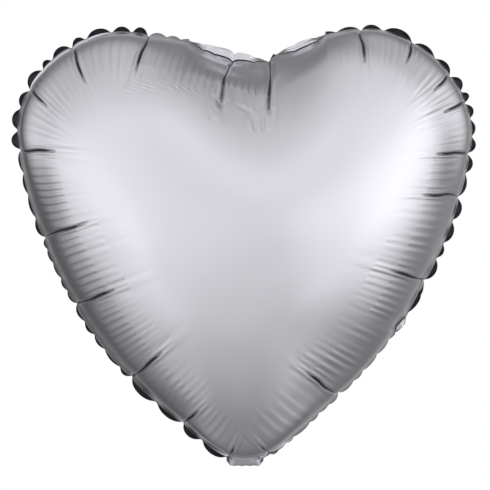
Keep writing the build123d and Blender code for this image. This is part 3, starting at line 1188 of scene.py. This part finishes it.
def foil_material(name, color, roughness, grain, fold_shade_color=None):
    """Satin metallised film: fine uneven grain, and painted shade down in its sharp folds."""
    mat = new_material(name, {
        "Base Color": (*color, 1), "Metallic": 1.0, "Roughness": roughness,
    })
    nodes, links = mat.node_tree.nodes, mat.node_tree.links
    # The fold attribute mixes the painted shade colour into the film's own.
    if fold_shade_color:
        fold = nodes.new("ShaderNodeAttribute")
        fold.attribute_name = "fold"
        two_tone(mat, fold.outputs["Fac"], color, fold_shade_color)
    place = nodes.new("ShaderNodeTexCoord")
    noise = nodes.new("ShaderNodeTexNoise")
    noise.inputs["Scale"].default_value = 90
    noise.inputs["Detail"].default_value = 3
    links.new(place.outputs["Object"], noise.inputs["Vector"])
    bumped(mat, noise.outputs["Fac"], grain, distance=0.4 * MM)
    return mat


def film_material(name):
    """Clear valve film: milky, thin, with a fine blown-film streak."""
    mat = new_material(name, {
        "Base Color": (0.86, 0.88, 0.90, 1), "Roughness": 0.28, "Transmission Weight": 0.45,
        "IOR": 1.05,
    })
    nodes, links = mat.node_tree.nodes, mat.node_tree.links
    place = nodes.new("ShaderNodeTexCoord")
    stretch = nodes.new("ShaderNodeMapping")
    stretch.inputs["Scale"].default_value = (1, 0.2, 0.2)
    streak = nodes.new("ShaderNodeTexNoise")
    streak.inputs["Scale"].default_value = 900
    links.new(place.outputs["Object"], stretch.inputs["Vector"])
    links.new(stretch.outputs["Vector"], streak.inputs["Vector"])
    two_tone(mat, streak.outputs["Fac"], (0.80, 0.82, 0.85), (0.92, 0.93, 0.95))
    bumped(mat, streak.outputs["Fac"], strength=0.1, distance=0.2 * MM)
    return mat


# The last colour of the satin foil is its folds' painted shade.
foil = foil_material("satin_foil", (0.80, 0.79, 0.845), 0.24, 0.05, (0.06, 0.055, 0.07))
# Near-black margin film: painted shade on the dark scallops and along the crumpled ones.
dark_weld = foil_material("dark_weld", (0.035, 0.033, 0.042), 0.18, 0.1)
pale_weld = foil_material("pale_weld", (0.74, 0.73, 0.78), 0.12, 0.1)
crimped_weld = foil_material("crimped_weld", (0.50, 0.49, 0.54), 0.22, 0.25)
milky_film = film_material("milky_film")
for pieces, *paints in (
    ((front, back, *tail_films), foil),
    ((margin,), dark_weld, pale_weld),
    ((tail_weld, valve_weld), crimped_weld),
    (valve_films, milky_film),
):
    for piece in pieces:
        for paint in paints:
            piece.data.materials.append(paint)
margin.data.polygons.foreach_set("material_index", margin_tones)

for piece, node, slot in (
    (front, "front_panel", "foil"), (back, "back_panel", "foil"), (margin, "edge_seal", "seal")
):
    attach(piece, "balloon")
    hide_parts(node)

# The seam's outline, widened by the margin. An 18 inch heart is 457 mm wide with its
# margin before it is filled.
outline, _ = even_seam(COLUMNS)
seam_from_crown = np.linalg.norm(outline - crown, axis=1)[:, None]
outline = crown + (outline - crown) * (1 + MARGIN / seam_from_crown)


# ---- Studio -------------------------------------------------------------------------


bpy.context.scene.view_settings.view_transform = "Standard"


def studio_world():
    """Soft white studio: light from all round, by direction, and a white backdrop."""
    world = bpy.data.worlds.new("studio")
    bpy.context.scene.world = world
    world.use_nodes = True
    nodes, links = world.node_tree.nodes, world.node_tree.links
    nodes.clear()
    coord = nodes.new("ShaderNodeTexCoord")
    direction = coord.outputs["Generated"]

    def dot(axis):
        """1 where the light comes from along an axis, and -1 where from its other end."""
        node = nodes.new("ShaderNodeVectorMath")
        node.operation = "DOT_PRODUCT"
        links.new(direction, node.inputs[0])
        node.inputs[1].default_value = Vector(axis).normalized()
        return node.outputs["Value"]

    def ramp(value, stops):
        """Brightness by a value between -1 and 1: its stops are (value, brightness)."""
        node = nodes.new("ShaderNodeValToRGB")
        node.color_ramp.interpolation = "EASE"
        share = nodes.new("ShaderNodeMapRange")
        share.inputs["From Min"].default_value = -1
        links.new(value, share.inputs["Value"])
        links.new(share.outputs["Result"], node.inputs["Fac"])
        elements = node.color_ramp.elements
        while len(elements) < len(stops):
            elements.new(0.5)
        for element, (at, level) in zip(elements, stops):
            element.position = (at + 1) / 2
            element.color = (level, level, level, 1)
        return node.outputs["Color"]

    def spot(axis, *stops):
        """Brightness round one direction, and none behind it."""
        return ramp(dot(axis), [(-1, 0.0), *stops])

    def mix(kind, a, b):
        """Two brightnesses combined."""
        node = nodes.new("ShaderNodeMix")
        node.data_type = "RGBA"
        node.blend_type = kind
        node.clamp_result = False
        node.inputs["Factor"].default_value = 1
        links.new(a, node.inputs["A"])
        links.new(b, node.inputs["B"])
        return node.outputs["Result"]

    ahead = ramp(dot((0, -1, 0)), [
        (-1, 0.52), (-0.87, 0.38), (-0.6, 0.28), (-0.26, 0.33), (0, 0.42), (0.26, 0.50),
        (0.5, 0.62), (0.74, 0.83), (1, 0.84),
    ])
    upward = ramp(dot((0, 0, 1)), [
        (-1, 0.64), (-0.7, 0.62), (-0.42, 0.82), (-0.1, 0.97), (1, 1.0),
    ])
    key = spot((0.87, -0.47, 0.12), (0.6, 0.0), (0.82, 0.16), (0.92, 0.40), (1, 0.62))
    fill = spot((-0.9, -0.42, -0.05), (0.5, 0.0), (0.78, 0.12), (0.92, 0.26), (1, 0.34))
    low = spot((0.78, -0.30, -0.55), (0.76, 0.0), (0.90, 0.09), (1, 0.22))
    low_left = spot((-0.85, -0.10, -0.52), (0.66, 0.0), (0.86, 0.09), (1, 0.14))
    top = spot((0, -0.42, 0.9), (0.72, 0.0), (0.90, 0.08), (1, 0.12))
    shade = spot((-0.76, 0.64, -0.12), (0.7, 0.0), (0.9, 0.12), (1, 0.18))
    top_left = spot((-0.62, 0.26, 0.74), (0.68, 0.0), (0.88, 0.05), (1, 0.08))
    top_right = spot((0.62, 0.26, 0.74), (0.68, 0.0), (0.88, 0.05), (1, 0.08))
    total = mix("MULTIPLY", ahead, upward)
    for glow in (key, fill, low, low_left, top):
        total = mix("ADD", total, glow)
    for gloom in (shade, top_left, top_right):
        total = mix("SUBTRACT", total, gloom)
    light = nodes.new("ShaderNodeBackground")
    links.new(total, light.inputs["Color"])
    light.inputs["Strength"].default_value = 1.0
    backdrop = nodes.new("ShaderNodeBackground")
    backdrop.inputs["Color"].default_value = (1, 1, 1, 1)
    path = nodes.new("ShaderNodeLightPath")
    pick = nodes.new("ShaderNodeMixShader")
    links.new(path.outputs["Is Camera Ray"], pick.inputs["Fac"])
    links.new(light.outputs["Background"], pick.inputs[1])
    links.new(backdrop.outputs["Background"], pick.inputs[2])
    out = nodes.new("ShaderNodeOutputWorld")
    links.new(pick.outputs["Shader"], out.inputs["Surface"])


studio_world()

FLOOR_BELOW = 1.6        # the balloon floats this far above the floor
FLOOR_RADIUS = 4.0
FLOOR_SIDES = 96
floor_turns = [TAU * k / FLOOR_SIDES for k in range(FLOOR_SIDES)]
floor = mesh_object("floor", [
    (FLOOR_RADIUS * math.cos(turn), FLOOR_RADIUS * math.sin(turn), -FLOOR_BELOW)
    for turn in floor_turns
], [tuple(range(FLOOR_SIDES))], smooth=False)
floor.data.materials.append(new_material("pale_floor", {
    "Base Color": (0.92, 0.92, 0.92, 1), "Roughness": 0.9,
    "Emission Color": (1, 1, 1, 1), "Emission Strength": 0.22,
}))
floor.visible_glossy = False   # the world alone is what the film mirrors


# ---- Camera -------------------------------------------------------------------------

PICTURE_WIDTH = 0.4013   # metres across the picture at the balloon's seam plane
CAMERA_DISTANCE = 1.9
CAMERA_HEIGHT = 0.1802
SENSOR_WIDTH = 36        # millimetres
camera_data = bpy.data.cameras.new("camera")
camera = bpy.data.objects.new("camera", camera_data)
bpy.context.scene.collection.objects.link(camera)
bpy.context.scene.camera = camera
camera_data.sensor_width = SENSOR_WIDTH
camera_data.lens = SENSOR_WIDTH * CAMERA_DISTANCE / PICTURE_WIDTH
camera.location = (0, -CAMERA_DISTANCE, CAMERA_HEIGHT)
camera.rotation_euler = (math.radians(90), 0, 0)
